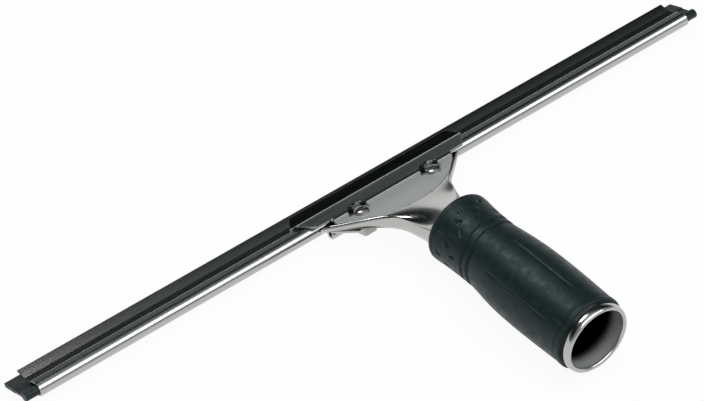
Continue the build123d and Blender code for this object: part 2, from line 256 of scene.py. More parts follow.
def makeFinish(name, look):
    # colour goes from deep to pale with the clouds, roughness and bump follow the streaks, and scuffs add to
    # colour and roughness; satin marks take their own colour, rougher and less of a mirror, and painted shade
    # is dark
    mat = bpy.data.materials.new(name)
    mat.use_nodes = True
    tree = mat.node_tree
    shader = tree.nodes["Principled BSDF"]
    for socket, value in look.get("sockets", {}).items():
        shader.inputs[socket].default_value = value
    grain = putNode(tree, "ShaderNodeGroup", node_tree=grainGroup)
    scuff = putNode(tree, "ShaderNodeGroup", node_tree=scuffGroup)
    for node, socket, key in ((grain, "Stretch", "stretch"), (grain, "Streak Scale", "streakScale"),
                              (grain, "Cloud Scale", "cloudScale"), (grain, "Fine Scale", "fineScale"),
                              (scuff, "Stretch", "scuffStretch"), (scuff, "Scale", "scuffScale"),
                              (scuff, "Share", "scuffShare")):
        node.inputs[socket].default_value = look[key]
    tint = putNode(tree, "ShaderNodeMix", {mixFirst: look["deep"], mixSecond: look["pale"]}, data_type="RGBA")
    marked = putNode(tree, "ShaderNodeMix", {mixSecond: look["scuffColor"]}, data_type="RGBA")
    faint = putNode(tree, "ShaderNodeMath", {1: look["scuffTint"]}, operation="MULTIPLY")
    rough = putNode(tree, "ShaderNodeMapRange", {"From Min": streakRange[0], "From Max": streakRange[1],
                                                 "To Min": look["rough"][0], "To Max": look["rough"][1]})
    rougher = putNode(tree, "ShaderNodeMath", {1: look["scuffRough"]}, operation="MULTIPLY_ADD")
    satin = putNode(tree, "ShaderNodeAttribute", attribute_name="satin")
    coated = putNode(tree, "ShaderNodeMix", {mixSecond: look["satinColor"]}, data_type="RGBA")
    # painted shade: where this mask is set, the base colour is pulled to a near-black shade colour
    paintedShade = putNode(tree, "ShaderNodeAttribute", attribute_name="paintedShade")
    paintedShadeMix = putNode(tree, "ShaderNodeMix", {mixSecond: look["paintedShadeColor"]}, data_type="RGBA")
    matter = putNode(tree, "ShaderNodeMath", {1: look["satinRough"]}, operation="MULTIPLY_ADD")
    mirror = putNode(tree, "ShaderNodeMapRange", {"To Min": look["metallic"], "To Max": look["satinMetal"]})
    height = putNode(tree, "ShaderNodeMath", {1: look["streakShare"]}, operation="MULTIPLY_ADD")
    bump = putNode(tree, "ShaderNodeBump", {"Strength": look["bump"], "Distance": look["bumpDepth"]})
    for source, target in (
            (grain.outputs["Cloud"], tint.inputs[0]), (scuff.outputs["Mask"], faint.inputs[0]),
            (faint.outputs[0], marked.inputs[0]), (tint.outputs[mixResult], marked.inputs[mixFirst]),
            (satin.outputs["Fac"], coated.inputs[0]), (marked.outputs[mixResult], coated.inputs[mixFirst]),
            (paintedShade.outputs["Fac"], paintedShadeMix.inputs[0]), (coated.outputs[mixResult], paintedShadeMix.inputs[mixFirst]),
            (paintedShadeMix.outputs[mixResult], shader.inputs["Base Color"]),
            (grain.outputs["Streak"], rough.inputs["Value"]),
            (scuff.outputs["Mask"], rougher.inputs[0]), (rough.outputs[0], rougher.inputs[2]),
            (satin.outputs["Fac"], matter.inputs[0]), (rougher.outputs[0], matter.inputs[2]),
            (matter.outputs[0], shader.inputs["Roughness"]), (satin.outputs["Fac"], mirror.inputs["Value"]),
            (mirror.outputs[0], shader.inputs["Metallic"]), (grain.outputs["Streak"], height.inputs[0]),
            (grain.outputs["Fine"], height.inputs[2]), (height.outputs[0], bump.inputs["Height"]),
            (bump.outputs[0], shader.inputs["Normal"])):
        tree.links.new(source, target)
    return mat


# finishes: steel of each pressing, turned screws and nuts, and the two rubbers
# each finish below carries a near-black colour for painted shade
steel = dict(metallic=1.0, deep=(0.43, 0.43, 0.415, 1), pale=(0.49, 0.49, 0.475, 1), rough=(0.13, 0.2),
             stretch=(0.02, 1, 1), streakScale=1800.0, cloudScale=45.0, fineScale=2500.0, streakShare=1.0,
             bump=0.05, bumpDepth=0.00003, scuffStretch=(0.05, 1, 1), scuffScale=700.0, scuffShare=0.26,
             scuffColor=(0.72, 0.72, 0.70, 1), scuffTint=0.3, scuffRough=0.08,
             satinColor=(0.42, 0.43, 0.43, 1), satinRough=0.25, satinMetal=0.35,
             paintedShadeColor=(0.008, 0.010, 0.010, 1))
rubber = dict(metallic=0.0, deep=(0.003, 0.009, 0.0095, 1), pale=(0.007, 0.016, 0.0165, 1),
              rough=(0.36, 0.55), stretch=(1, 1, 1), streakScale=380.0, cloudScale=60.0, fineScale=3500.0,
              streakShare=0.8, bump=0.2, bumpDepth=0.00005, scuffStretch=(1, 0.15, 1), scuffScale=300.0,
              scuffShare=0.24, scuffColor=(0.05, 0.065, 0.07, 1), scuffTint=0.4, scuffRough=0.1,
              satinColor=(0.02, 0.03, 0.035, 1), satinRough=0.1, satinMetal=0.0,
              paintedShadeColor=(0.004, 0.006, 0.007, 1),
              sockets={"Specular IOR Level": 0.3, "Specular Tint": (0.75, 0.95, 1.0, 1)})
finishes = {
    "channelSteel": {**steel, "rough": (0.165, 0.195), "bump": 0.01, "scuffTint": 0.12, "scuffRough": 0.03},
    "handleSteel": {**steel, "stretch": (1, 0.03, 1), "scuffStretch": (1, 0.08, 1), "bump": 0.03},
    "clampSteel": {**steel, "deep": (0.22, 0.235, 0.23, 1), "pale": (0.27, 0.285, 0.28, 1)},
    "jawSteel": {**steel, "rough": (0.22, 0.34), "scuffShare": 0.32},
    "screwSteel": {**steel, "stretch": (1, 1, 1), "streakScale": 1200.0, "rough": (0.2, 0.36),
                   "cloudScale": 300.0, "deep": (0.26, 0.26, 0.25, 1), "pale": (0.46, 0.46, 0.44, 1)},
    "nutSteel": {**steel, "stretch": (1, 1, 1), "streakScale": 1200.0, "rough": (0.26, 0.45),
                 "cloudScale": 250.0, "deep": (0.38, 0.37, 0.35, 1)},
    "gripRubber": rubber,
    "bladeRubber": {**rubber, "deep": (0.008, 0.011, 0.012, 1), "pale": (0.016, 0.021, 0.022, 1),
                    "rough": (0.36, 0.5), "scuffStretch": (0.1, 1, 1)},
}
materials = {name: makeFinish(name, look) for name, look in finishes.items()}
print("finishes made", len(materials))

# shapes are worked out in millimetres; the blade's droop is read from the clamp's travel
mm = 0.001
mergeGap, thinGap = 1e-7, 1e-8  # metres
liftAxis = next(joint for joint in frame["joints"] if joint["name"] == "clamp_lift")["axis"]
bladeTilt = atan2(liftAxis[1], liftAxis[2])
bladeSpot = dict(reach=135.1, drop=13.3)


def toRow(x, along, up):
    # from the blade's frame (across, forward, up) into the part's frame: a turn about X and a shift
    y = bladeSpot["reach"] + along * cos(bladeTilt) + up * sin(bladeTilt)
    z = -bladeSpot["drop"] - along * sin(bladeTilt) + up * cos(bladeTilt)
    return np.stack(np.broadcast_arrays(x, y, z), -1)


def aheadOf(y, z):
    # way forward in the blade's frame, the turn and shift of toRow undone
    return (y - bladeSpot["reach"]) * cos(bladeTilt) - (z + bladeSpot["drop"]) * sin(bladeTilt)


def planeZ(y, height):
    # level, at y, of a plane that lies at this height above the blade's middle plane
    return -bladeSpot["drop"] + height / cos(bladeTilt) - (y - bladeSpot["reach"]) * tan(bladeTilt)


def unit(v):
    # vectors over their own lengths
    return v / np.linalg.norm(v, axis=-1, keepdims=True)


def smoothStep(t):
    # cubic ease from 0 to 1
    t = np.clip(t, 0, 1)
    return t * t * (3 - 2 * t)


def offsetPath(path, amount):
    # polyline moved to its left: each corner goes out along the mitre of its two sides
    path = np.asarray(path, float)
    way = unit(np.diff(path, axis=0))
    side = np.stack([-way[:, 1], way[:, 0]], -1)
    before = np.concatenate([side[:1], side])
    after = np.concatenate([side, side[-1:]])
    mitre = (before + after) / (1 + (before * after).sum(-1, keepdims=True))
    return path + amount * mitre


def roundedPath(corners, radii, steps=6, lead=0.08):
    # polyline with arcs for corners: each arc is swung about a centre on the corner's bisector,
    # and a short lead beside each arc keeps the flats flat when they are shaded
    pts = np.asarray(corners, float)
    radii = np.broadcast_to(np.asarray(radii, float), len(pts) - 2)[:, None]
    corner = pts[1:-1]
    toBefore, toAfter = unit(pts[:-2] - corner), unit(pts[2:] - corner)
    half = 0.5 * np.arccos(np.clip((toBefore * toAfter).sum(-1, keepdims=True), -1, 1))
    first = corner + toBefore * radii / np.tan(half)
    last = corner + toAfter * radii / np.tan(half)
    centre = corner + unit(toBefore + toAfter) * radii / np.sin(half)
    t = np.linspace(0, 1, steps + 1)[None, :, None]
    sweep = (pi - 2 * half)[:, None]
    swung = np.sin((1 - t) * sweep) * (first - centre)[:, None] + np.sin(t * sweep) * (last - centre)[:, None]
    arcs = centre[:, None] + swung / np.sin(sweep)
    leadIn, leadOut = (first + toBefore * lead)[:, None], (last + toAfter * lead)[:, None]
    return np.concatenate([pts[:1], np.concatenate([leadIn, arcs, leadOut], 1).reshape(-1, 2), pts[-1:]])


def runAlong(path):
    # length of a polyline up to each of its points
    return np.concatenate([[0], np.cumsum(np.linalg.norm(np.diff(path, axis=0), axis=1))])


def dense(path, step):
    # same polyline with points added, so that no two lie further apart than step
    run = runAlong(path)
    marks = np.union1d(run, np.arange(0, run[-1], step))
    return np.stack([np.interp(marks, run, path[:, k]) for k in range(path.shape[1])], -1)


def evenly(path, count):
    # same polyline as count points an equal run apart
    run = runAlong(path)
    marks = np.linspace(0, run[-1], count)
    return np.stack([np.interp(marks, run, path[:, k]) for k in range(path.shape[1])], -1)


def splineThrough(knots, values, at):
    # natural cubic spline: the bends solve the three-term system, then each span is a cubic between two knots
    knots, values = np.asarray(knots, float), np.asarray(values, float)
    gap = np.diff(knots)
    inner = np.arange(1, len(knots) - 1)
    system = np.eye(len(knots))
    system[inner, inner - 1] = gap[:-1]
    system[inner, inner] = 2 * (gap[:-1] + gap[1:])
    system[inner, inner + 1] = gap[1:]
    right = np.zeros_like(values)
    right[1:-1] = 6 * np.diff(np.diff(values, axis=0) / gap[:, None], axis=0)
    bend = np.linalg.solve(system, right)
    span = np.clip(np.searchsorted(knots, at) - 1, 0, len(gap) - 1)
    a = ((knots[span + 1] - at) / gap[span])[:, None]
    b = 1 - a
    cubic = (a ** 3 - a) * bend[span] + (b ** 3 - b) * bend[span + 1]
    return a * values[span] + b * values[span + 1] + cubic * gap[span][:, None] ** 2 / 6


def gridQuads(rows, cols):
    # quads between neighbouring rows of rings
    r = np.arange(rows - 1)[:, None] * cols
    c = np.arange(cols)[None]
    n = (c + 1) % cols
    return np.stack([r + c, r + n, r + cols + n, r + cols + c], -1).reshape(-1, 4)


def endQuads(cols, start):
    # quads that close a ring of paired points, the first with the last
    i = np.arange(cols // 2 - 1)
    return np.stack([i, cols - 1 - i, cols - 2 - i, i + 1], -1) + start


def ringShell(rings, capped):
    # closed shell of rings; capped ends pair their points, others end in a pole or on the first ring
    rows, cols = rings.shape[:2]
    quads = [gridQuads(rows, cols)]
    if capped:
        quads += [endQuads(cols, 0), endQuads(cols, (rows - 1) * cols)]
    return rings.reshape(-1, 3), np.concatenate(quads)


def makePiece(name, shells, finish, body, node, sharp=38.0):
    # one object of closed shells, doubles merged and faces turned outwards
    starts = np.cumsum([0] + [len(points) for points, quads in shells])
    mesh = bpy.data.meshes.new(name)
    mesh.from_pydata(np.concatenate([points for points, quads in shells]) * mm, [],
                     np.concatenate([quads + start for (points, quads), start in zip(shells, starts)]))
    bm = bmesh.new()
    bm.from_mesh(mesh)
    bmesh.ops.remove_doubles(bm, verts=bm.verts, dist=mergeGap)
    bmesh.ops.dissolve_degenerate(bm, edges=bm.edges, dist=thinGap)
    bmesh.ops.recalc_face_normals(bm, faces=bm.faces)
    openEdges = sum(1 for edge in bm.edges if len(edge.link_faces) != 2)
    bm.to_mesh(mesh)
    bm.free()
    mesh.shade_smooth()
    mesh.set_sharp_from_angle(angle=radians(sharp))
    piece = bpy.data.objects.new(name, mesh)
    scene.collection.objects.link(piece)
    mesh.materials.append(materials[finish])
    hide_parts(node)
    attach(piece, body)
    print(name, "faces", len(mesh.polygons), "open edges", openEdges)
    return piece


def markPiece(piece, marks):
    # masks of a piece, one value a point, from where the points lie in the blade's frame
    points = np.empty(len(piece.data.vertices) * 3)
    piece.data.vertices.foreach_get("co", points)
    x, y, z = points.reshape(-1, 3).T / mm
    up = (y - bladeSpot["reach"]) * sin(bladeTilt) + (z + bladeSpot["drop"]) * cos(bladeTilt)
    for name, values in marks(x, aheadOf(y, z), up).items():
        mask = piece.data.attributes.new(name, "FLOAT", "POINT")
        mask.data.foreach_set("value", values)


def stripLoop(mid, half, steps=4):
    # outline of a bent strip: the middle line moved out and in by half, with round edges; points pair across it
    way = unit(np.diff(mid, axis=0))
    way = unit(np.concatenate([way[:1], way[:-1] + way[1:], way[-1:]]))
    out = np.stack([way[:, 1], -way[:, 0]], -1)
    turn = ((np.arange(steps) + 0.5) / steps * pi)[:, None]
    front = mid[-1] + half * (np.cos(turn) * out[-1] + np.sin(turn) * way[-1])
    back = mid[0] - half * (np.cos(turn) * out[0] + np.sin(turn) * way[0])
    return np.concatenate([back[steps // 2:], mid + half * out, front, (mid - half * out)[::-1],
                           back[:steps // 2]])


def stripShell(mid, half, endX, edge):
    # strip carried along X to the ends that endX gives for each point, with its end edges broken by edge
    rings = []
    for sign, inward, thin in ((-1, 0, edge), (-1, edge, 0), (1, edge, 0), (1, 0, edge)):
        loop = stripLoop(mid, half - thin)
        low, high = endX(loop[:, 0])
        x = low + inward if sign < 0 else high - inward
        rings.append(toRow(x, loop[:, 0], loop[:, 1]))
    return ringShell(np.stack(rings), True)


# channel: one bent strip, skirts, pinched neck and bead tube
channelSizes = dict(strip=0.7, tubeR=3.1, tubeAt=-0.3, shoulder=3.15, neck=5.4, neckHalf=1.55, kink=9.0,
                    kinkHalf=2.12, skirt=13.9, skirtHalf=4.2, bends=(1.2, 0.8, 0.65), bendSteps=8, tubeSteps=48,
                    edge=0.15)
channelEnds = [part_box("channel")[side][0] / mm for side in (0, 1)]


def channelShell(s):
    # middle of the strip: upper skirt back to the tube, half a turn round it, and the same mirrored below
    outer = [(s["skirt"], s["skirtHalf"]), (s["kink"], s["kinkHalf"]), (s["neck"], s["neckHalf"]),
             (s["shoulder"], s["tubeR"]), (s["tubeAt"], s["tubeR"])]
    upper = roundedPath(offsetPath(outer, s["strip"] / 2), s["bends"], steps=s["bendSteps"])
    turn = np.linspace(pi / 2, 3 * pi / 2, s["tubeSteps"])[1:-1]
    radius = s["tubeR"] - s["strip"] / 2
    tube = np.stack([s["tubeAt"] + radius * np.cos(turn), radius * np.sin(turn)], -1)
    mid = np.concatenate([upper, tube, upper[::-1] * (1, -1)])
    return stripShell(mid, s["strip"] / 2, lambda along: channelEnds, s["edge"])


makePiece("channelStrip", [channelShell(channelSizes)], "channelSteel", "channel", "channel")

# rubber blade: round bead, web through the neck and square-cut lip
rubberSizes = dict(beadR=2.1, beadAt=-0.3, beadSteps=30, webHalf=0.7, rootStart=6.6, rootEnd=7.8, lipHalf=1.1,
                   lipFront=15.9, lipThin=0.1, round=0.4, lipEdge=0.12, endRound=0.12)
rubberEnds = [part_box("blade_rubber")[side][0] / mm for side in (0, 1)]


def rubberShell(s):
    # upper half of the section from the back of the bead to the lip, paired with the same points below
    turn = np.linspace(pi, asin(s["webHalf"] / s["beadR"]), s["beadSteps"])[:, None]
    bead = np.concatenate([s["beadAt"] + s["beadR"] * np.cos(turn), s["beadR"] * np.sin(turn)], 1)
    lip = roundedPath([bead[-1], (s["rootStart"], s["webHalf"]), (s["rootEnd"], s["lipHalf"]),
                       (s["lipFront"], s["lipHalf"] - s["lipThin"]), (s["lipFront"], 0)],
                      [s["round"], s["round"], s["lipEdge"]])
    upper = np.concatenate([bead[1:], lip[1:-1]])
    loop = np.concatenate([upper, upper[::-1] * (1, -1)])
    r = s["endRound"]
    small = loop - np.sign(loop) * (0, r)
    rings = []
    for end, inward in ((0, 1), (1, -1)):
        pair = [toRow(rubberEnds[end], small[:, 0], small[:, 1]),
                toRow(rubberEnds[end] + inward * r, loop[:, 0], loop[:, 1])]
        rings += pair if end == 0 else pair[::-1]
    return ringShell(np.stack(rings), True)


makePiece("rubberBlade", [rubberShell(rubberSizes)], "bladeRubber", "blade", "blade_rubber")

# rubber grip: turned profile with flutes along the barrel and small drops pressed into the flared collar
gripSizes = dict(
    tubeR=14.8, neckR=12.1, land=14.0, back=4.0, front=86.8, taperEnd=84.8, around=210, soft=0.45,
    fineRound=0.15,
    flangeR=16.75, flangeEnd=6.7, flangeDip=0.2, flangeSoft=1.6, flangeStep=0.8,
    barrelR=17.1, swell=0.55, barrelEnd=63.3, barrelWay=(0, 0.34, 0.74, 1.0), barrelFall=(1.0, 0.0, 0.75),
    barrelRows=(0.02, 0.99, 90),
    waistR=15.22, grooveW=2.4, grooveD=0.8, ringW=1.5, ease=0.5, grooveRound=0.22, grooveStep=0.4,
    collarR=16.0, collarBack=69.6, flareShare=0.25, flareRows=30, flareStep=0.34, collarRound=1.8, lineY=83.8,
    lineD=0.4, frontStep=0.4,
    fluteCount=6, fluteTurn=2.0, fluteY=33.0, fluteLen=42.0, fluteDepth=0.42, fluteHalf=0.8, fluteCols=13,
    fluteReach=1.3, fluteGap=0.01,
    dropRows=3, dropCount=9, dropHead=1.05, dropTail=2.9, dropDepth=0.55, dropSlant=35.0, dropEdge=0.5,
    dropBend=0.13,
    ringShift=-1.2, ringLean=1.5, leanTurn=58.0, leanFrom=45, leanRise=17, leanTo=83, leanFall=12)


def gripOutside(s):
    # outside of the grip from its back edge to its front edge, as radius and place along the handle
    length = s["barrelEnd"] - s["flangeEnd"]
    radii = [[s["barrelR"] - fall * s["swell"]] for fall in s["barrelFall"]] + [[s["waistR"]]]
    way = np.linspace(*s["barrelRows"])
    barrel = np.stack([splineThrough(s["barrelWay"], radii, way)[:, 0], s["flangeEnd"] + length * way], -1)
    flange = roundedPath([(s["tubeR"], s["back"]), (s["flangeR"], s["back"]), (s["flangeR"], s["flangeEnd"]),
                          (barrel[0, 0] - s["flangeDip"], s["flangeEnd"]), barrel[0]],
                         [s["soft"] * s["flangeSoft"], s["soft"], s["fineRound"]])
    low = s["waistR"] - s["grooveD"]
    rings = [barrel[-1]]
    for start in (s["barrelEnd"], s["barrelEnd"] + s["grooveW"] + s["ringW"]):
        rings += [(s["waistR"], start), (low, start + s["ease"]), (low, start + s["grooveW"] - s["ease"]),
                  (s["waistR"], start + s["grooveW"])]
    # collar: a parabola that reaches flareShare of its flare halfway, then a fine line and a rounded front
    line, deep = s["lineY"], s["lineD"]
    share = np.linspace(0, 1, s["flareRows"])
    rise = share - (2 - 4 * s["flareShare"]) * share * (1 - share)
    flare = np.stack([s["waistR"] + (s["collarR"] - s["waistR"]) * rise,
                      s["collarBack"] + (line - deep - s["collarBack"]) * share], -1)
    grooves = roundedPath(rings + [flare[1]], s["grooveRound"])
    front = roundedPath([flare[-2], flare[-1], (s["collarR"] - deep, line), (s["collarR"], line + deep),
                         (s["collarR"], s["front"]), (s["neckR"], s["front"])],
                        [s["fineRound"]] * 3 + [s["collarRound"]])
    return np.concatenate([dense(flange, s["flangeStep"]), barrel[1:-1], dense(grooves[:-1], s["grooveStep"]),
                           dense(flare[1:-1], s["flareStep"]), dense(front[1:], s["frontStep"])])


def gripShell(s):
    # profile turned about the handle's axis, its outside sunk by flutes and drops and slid by the lean
    outside = gripOutside(s)
    inside = np.array([(s["neckR"], s["taperEnd"]), (s["tubeR"], s["land"])])
    profile = np.concatenate([outside, inside])
    radius, y = profile[:, :1], profile[:, 1:]
    # even turns round the handle, with closer ones beside each flute
    pitch = 2 * pi / s["fluteCount"]
    middles = radians(s["fluteTurn"]) + pitch * np.arange(s["fluteCount"])
    beside = np.linspace(-s["fluteReach"], s["fluteReach"], s["fluteCols"]) * s["fluteHalf"] / s["barrelR"]
    even = np.linspace(0, 2 * pi, s["around"], endpoint=False)
    apart = np.abs((even[:, None] - middles + pi) % (2 * pi) - pi).min(1)
    even = even[apart > beside[-1] + s["fluteGap"]]
    turn = np.sort(np.concatenate([even, ((middles[:, None] + beside) % (2 * pi)).ravel()]))[None]
    outer = (np.arange(len(profile)) < len(outside))[:, None]
    # flute: a groove with a round bottom that fades to nothing at both ends
    lens = np.clip(1 - ((y - s["fluteY"]) / (s["fluteLen"] / 2)) ** 2, 0, 1)
    offTurn = (turn - radians(s["fluteTurn"]) + pitch / 2) % pitch - pitch / 2
    sunk = s["fluteDepth"] * lens * np.sqrt(np.clip(1 - (offTurn * radius / s["fluteHalf"]) ** 2, 0, 1))
    # drop: a round head with a tail that narrows to a point, pressed in with a soft edge
    rowStep = (s["lineY"] - s["collarBack"]) / (s["dropRows"] + 1)
    for row in range(s["dropRows"]):
        for i in range(s["dropCount"]):
            slant = radians(s["dropSlant"]) * (1 if (i + row) % 2 else -1)
            off = (turn - 2 * pi * (i + row / s["dropRows"]) / s["dropCount"] + pi) % (2 * pi) - pi
            across, ahead = off * radius, y - s["collarBack"] - rowStep * (row + 1)
            p = ahead * cos(slant) - across * sin(slant)
            q = across * cos(slant) + ahead * sin(slant) - s["dropBend"] * p * p
            head = np.sqrt(np.clip(s["dropHead"] ** 2 - np.minimum(p, 0) ** 2, 0, None))
            width = np.where(p < 0, head, s["dropHead"] * np.clip(1 - p / s["dropTail"], 0, 1))
            sunk = np.maximum(sunk, s["dropDepth"] * smoothStep((width - np.abs(q)) / s["dropEdge"]))
    full = radius - outer * sunk
    # the two grooves lean a little: the middle of the grip's front half slides back on one side
    near = smoothStep((y - s["leanFrom"]) / s["leanRise"]) * smoothStep((s["leanTo"] - y) / s["leanFall"])
    lean = near * outer * (s["ringShift"] + s["ringLean"] * np.cos(turn - radians(s["leanTurn"])))
    rings = np.stack([full * np.sin(turn), y + lean, full * np.cos(turn)], -1)
    return ringShell(np.concatenate([rings, rings[:1]]), False)


makePiece("gripSleeve", [gripShell(gripSizes)], "gripRubber", "handle", "grip", sharp=60.0)

# handle body: pole socket with rolled rim, tapered tube, and the neck that widens into the dish
bodySizes = dict(
    mouthR=13.6, land=14.0, wall=1.2, neckR=12.1, neckStep=0.15, nose=8.0, tubeEnd=84.8, noseRows=16,
    boreStep=2.0, tubeStep=6.0, joinGap=0.05,
    rimR=1.1, rimBand=3.2, rimInside=10, rimOutside=30, rimStart=0.1, boreEnd=0.6, bandGap=0.2,
    dishFront=131.416, dishHalf=37.6, rimRun=2.4, rimFront=0.7, rimBack=2.9, rimRound=2.2, crownEnd=0.49,
    roundLeast=1e-4, flatFrom=0.38, flatRun=0.25, powers=(2, 4), poleDrop=2.0,
    seat=1.0, heelBack=-27.2, wallSlope=0.7, edgeCount=220, edgeStep=0.25, edgeLap=1,
    keelLap=0.1, under=-3.2, seatHalf=32.5, seatBack=-14.8,
    topCount=230, underCount=120, rowCount=150, fineCount=700,
    # these two rows place the bore's satin, the painted shade further into the bore, and the painted shadow
    # line along the seat's edge
    boreSkin=0.5, boreSoft=0.4, satinShare=0.8, satinFrom=-0.5, satinRun=1.0, darkFrom=3.5, darkRun=6.0,
    seamShadowHalf=0.9, seamShadowSoft=0.4, seamShadowFloor=-4.0, markChunks=60)
# shares, tube to dish: way along, widening, roundness of the crown, depth of the keel; then squareness
neckStations = np.array([
    (0.0, 0.0, 1.0, 1.0, 2.0), (0.17, 0.008, 0.79, 0.81, 2.1), (0.35, 0.05, 0.41, 0.58, 2.5),
    (0.49, 0.135, 0.11, 0.38, 3.0), (0.63, 0.31, 0.0, 0.205, 3.6), (0.76, 0.555, 0.0, 0.074, 4.0),
    (0.885, 0.79, 0.0, 0.005, 4.0), (1.0, 1.0, 0.0, 0.0, 4.0)])
lipFront = 11.2  # where the seat's outline and the plate end


def neckValues(s, along):
    # place, half width, level of the tips, crown, keel and squareness at each share along the neck
    widening, roundness, depth, power = splineThrough(neckStations[:, 0], neckStations[:, 1:], along).T
    roundR = s["neckR"] - s["neckStep"]
    length = s["dishFront"] - s["tubeEnd"]
    y = s["tubeEnd"] + length * along

    def rimZ(at):
        # the rim's height over the seat grows evenly from front to back
        share = (s["dishFront"] - at) / (length * (1 - s["crownEnd"]))
        return planeZ(at, s["seat"] + s["rimFront"] + (s["rimBack"] - s["rimFront"]) * share)

    half = roundR + (s["dishHalf"] - roundR) * np.clip(widening, 0, None)
    ease = np.clip(1 - along / s["crownEnd"], 0, None) ** 2
    crown = rimZ(y) - (rimZ(s["tubeEnd"]) - roundR) * ease
    lowPlane = s["under"] - s["keelLap"]
    keel = planeZ(y, lowPlane) - (roundR + planeZ(s["tubeEnd"], lowPlane)) * np.clip(depth, 0, None)
    return y, half, crown - roundR * np.clip(roundness, 0, None), crown, keel, np.clip(power, *s["powers"])


def seatEdge(s, inset):
    # right half of the seat's outline in the blade's plan, from the middle of its back to the front: a spline
    # through the tips of the last three stations, then straight ahead
    y, half, level, crown, keel, power = neckValues(s, neckStations[-3:, 0])
    side = np.stack([half - s["rimRun"] - inset, aheadOf(y, level)], -1)
    pts = np.concatenate([side[::-1] * (-1, 1), [(0, s["heelBack"] + inset)], side])
    knots = runAlong(pts)
    curve = splineThrough(knots, pts, np.linspace(knots[len(side)], knots[-1], s["edgeCount"]))
    return np.concatenate([curve, [(curve[-1, 0], lipFront + s["edgeLap"])]])


def insideSeat(s, x, ahead):
    # distance in from the seat's outline, negative outside
    edge = dense(seatEdge(s, 0.0), s["edgeStep"])
    gap = np.stack([np.hypot(np.abs(row)[:, None] - edge[:, 0], way[:, None] - edge[:, 1]).min(1)
                    for row, way in zip(x, ahead)])
    order = np.argsort(edge[:, 1])
    within = (np.abs(x) < np.interp(ahead, edge[order, 1], edge[order, 0])) & (ahead > edge[:, 1].min())
    return np.where(within, gap, -gap)


def neckRings(s):
    # one ring at each share along the neck, its points an even run apart, then a pole in the front face
    along = np.linspace(0, 1, s["rowCount"])
    y, half, level, crown, keel, power = (v[:, None] for v in neckValues(s, along))
    flat = smoothStep((along[:, None] - s["flatFrom"]) / s["flatRun"])
    fillet = s["rimRound"] * flat + s["roundLeast"]
    # over: superellipse crown that flattens, its edge rounded, and the seat sunk into it
    share = np.sin(np.linspace(-pi / 2, pi / 2, s["fineCount"]))[None]
    x = half * share
    arch = np.clip(1 - np.abs(share) ** power, 0, 1) ** (1 / power)
    edge = np.clip((np.abs(x) - half + fillet) / fillet, 0, 1)
    top = level + (crown - level) * arch - fillet * (1 - np.sqrt(1 - edge ** 2))
    sunk = smoothStep(insideSeat(s, x, aheadOf(y, top)) / s["wallSlope"] + 0.5)
    top = top + (np.minimum(planeZ(y, s["seat"]), top) - top) * sunk
    # under: superellipse keel, cut level where the lower jaw lies
    turn = np.linspace(0, pi, s["fineCount"])[None]
    underX = half * np.sign(np.cos(turn)) * np.abs(np.cos(turn)) ** (2 / power)
    low = level - (level - keel) * np.sin(turn) ** (2 / power)
    low = np.minimum(low, level - fillet)
    seated = (np.abs(underX) < s["seatHalf"]) & (aheadOf(y, low) > s["seatBack"])
    low = np.where(seated, np.maximum(low, planeZ(y, s["under"])), low)
    rings = []
    for row in range(s["rowCount"]):
        over = evenly(np.stack([x[row], top[row]], -1), s["topCount"])
        beneath = evenly(np.stack([underX[row], low[row]], -1), s["underCount"] + 2)[1:-1]
        ring = np.concatenate([over, beneath])
        rings.append(np.stack([ring[:, 0], np.full(len(ring), y[row, 0]), ring[:, 1]], -1))
    front = np.array([0, y[-1, 0], level[-1, 0] - s["poleDrop"]])
    return np.concatenate([np.stack(rings), np.broadcast_to(front, (1, *rings[0].shape))])


def tubeRings(s):
    # turned inside and outside: nose of the hollow, bore, rolled rim, tapered tube
    tubeR, endR = s["mouthR"] + s["wall"], s["neckR"] - s["wall"]
    way = np.linspace(0, pi / 2, s["noseRows"])
    nose = np.stack([endR * np.sin(way), s["tubeEnd"] + s["nose"] * np.cos(way)], -1)
    # rolled rim: a quarter turn inside, half an ellipse outside
    inward = np.linspace(0, pi / 2, s["rimInside"])
    outward = np.linspace(s["rimStart"], pi - s["rimStart"], s["rimOutside"])
    midR, run = s["mouthR"] + s["rimR"], s["rimR"] + s["rimBand"]
    rim = np.concatenate([np.stack([midR - s["rimR"] * np.cos(inward), -s["rimR"] * np.sin(inward)], -1),
                          np.stack([midR + s["rimR"] * np.sin(outward),
                                    -s["rimR"] + run / 2 * (1 - np.cos(outward))], -1)])
    bore = dense(np.array([nose[-1], (s["mouthR"], s["land"]), (s["mouthR"], s["boreEnd"])]), s["boreStep"])
    outside = dense(np.array([(tubeR, s["rimBand"] + s["bandGap"]), (tubeR, s["land"]),
                              (s["neckR"], s["tubeEnd"] - s["joinGap"])]), s["tubeStep"])
    profile = np.concatenate([nose[:-1], bore, rim, outside])
    over = np.linspace(pi, 0, s["topCount"])
    beneath = np.linspace(0, -pi, s["underCount"] + 2)[1:-1]
    spin = np.concatenate([over, beneath])[None]
    radius, y = profile[:, :1], profile[:, 1:]
    return np.stack([radius * np.cos(spin), y + 0 * spin, radius * np.sin(spin)], -1)


bodyRings = np.concatenate([tubeRings(bodySizes), neckRings(bodySizes)])
bodyPiece = makePiece("handleBody", [ringShell(bodyRings, False)], "handleSteel", "handle", "handle_body")


